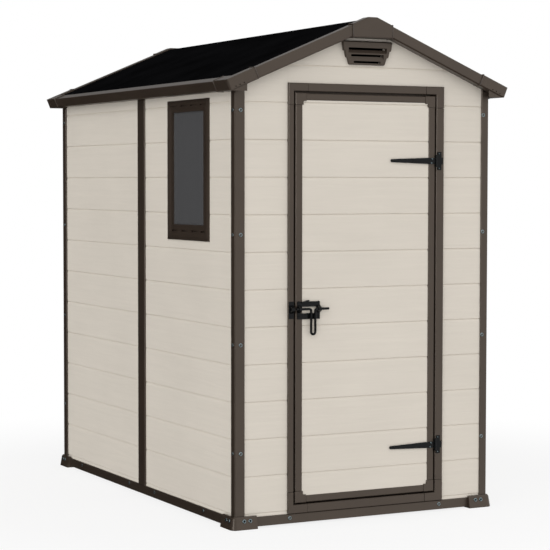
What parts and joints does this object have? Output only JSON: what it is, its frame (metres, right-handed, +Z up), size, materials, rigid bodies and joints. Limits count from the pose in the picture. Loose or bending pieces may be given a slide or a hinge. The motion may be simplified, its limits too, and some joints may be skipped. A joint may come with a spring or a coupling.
{
  "type": "garden shed",
  "caption": "Small moulded garden shed with clad walls, a framed hinged door with a pad bolt, a side window, louvred gable vents and a dark gabled roof.",
  "frame": {"origin": "on the ground at the middle of the footprint", "axes": "+Z up, +X to the right seen from the door side, +Y from the door towards the back"},
  "size_m": [1.282, 1.944, 1.99],
  "materials": {
    "wall_resin": "moulded cream resin with a fine wood grain",
    "trim_resin": "moulded dark brown resin",
    "roof_resin": "moulded black resin",
    "hardware": "semi-gloss black paint",
    "pane": "tinted clear sheet"
  },
  "bodies": {
    "shell": {"floor_panel": "trim_resin", "base_rails": "trim_resin", "foot_brackets": "trim_resin", "corner_post_front_left": "trim_resin", "corner_post_front_right": "trim_resin", "corner_post_back_left": "trim_resin", "corner_post_back_right": "trim_resin", "side_mullions": "trim_resin", "back_mullion": "trim_resin", "left_wall_front": "wall_resin", "left_wall_rear": "wall_resin", "right_wall_front": "wall_resin", "right_wall_rear": "wall_resin", "front_wall_left": "wall_resin", "front_wall_right": "wall_resin", "front_gable": "wall_resin", "back_wall_left": "wall_resin", "back_wall_right": "wall_resin", "window_frame": "trim_resin", "window_pane": "pane", "vent_front": "trim_resin", "vent_back": "trim_resin", "door_jamb_left": "trim_resin", "door_jamb_right": "trim_resin", "door_head": "trim_resin", "door_sill": "trim_resin", "door_frame_corners": "trim_resin", "hinge_plates": "hardware", "bolt_keeper": "hardware", "roof_panel_left": "roof_resin", "roof_panel_right": "roof_resin", "ridge_cap_front": "trim_resin", "ridge_cap_back": "trim_resin", "barge_boards_front": "trim_resin", "barge_boards_back": "trim_resin", "eave_trims": "trim_resin", "roof_corners": "trim_resin"},
    "door": {"door_panel": "wall_resin", "door_stiles": "trim_resin", "door_rails": "trim_resin", "door_leaf_corners": "trim_resin", "hinge_straps": "hardware", "bolt_plate": "hardware"},
    "bolt": {"bolt_rod": "hardware"},
    "handle": {"bolt_handle": "hardware"}
  },
  "joints": [
    {"name": "door_hinge", "type": "hinge", "parent": "shell", "child": "door", "pos_m": [0.324, -0.9295, 0.85175], "axis": [0, 0, 1], "range_deg": [0, 150]},
    {"name": "bolt_slide", "type": "slide", "parent": "door", "child": "bolt", "axis": [-1, 0, 0], "range_m": [0, 0.031]},
    {"name": "bolt_turn", "type": "hinge", "parent": "bolt", "child": "handle", "pos_m": [-0.2465, -0.9368, 0.847], "axis": [-1, 0, 0], "range_deg": [0, 90]}
  ]
}
